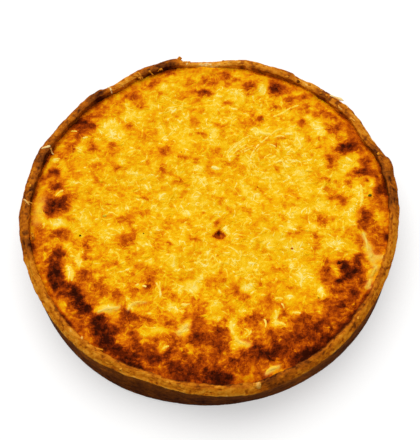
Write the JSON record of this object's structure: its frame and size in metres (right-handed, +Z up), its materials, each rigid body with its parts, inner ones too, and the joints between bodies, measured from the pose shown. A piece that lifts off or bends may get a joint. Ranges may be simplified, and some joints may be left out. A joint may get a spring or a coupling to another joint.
{
  "type": "quiche",
  "caption": "Round whole quiche out of its tin: an upright, hand-pressed pastry case round a set filling under browned, melted grated cheese.",
  "frame": {"origin": "middle of the flat base that the quiche stands on", "axes": "+Z up through the filling; +X to the right and +Y to the back as the quiche is seen from its front"},
  "size_m": [0.261, 0.2597, 0.0347],
  "materials": {
    "shortcrust": "matt, grainy baked pastry, browned unevenly",
    "baked_cheese": "soft oily sheen, melted and browned in patches"
  },
  "bodies": {
    "root": {"pastry_case": "shortcrust", "cheese_filling": "baked_cheese"}
  },
  "joints": []
}
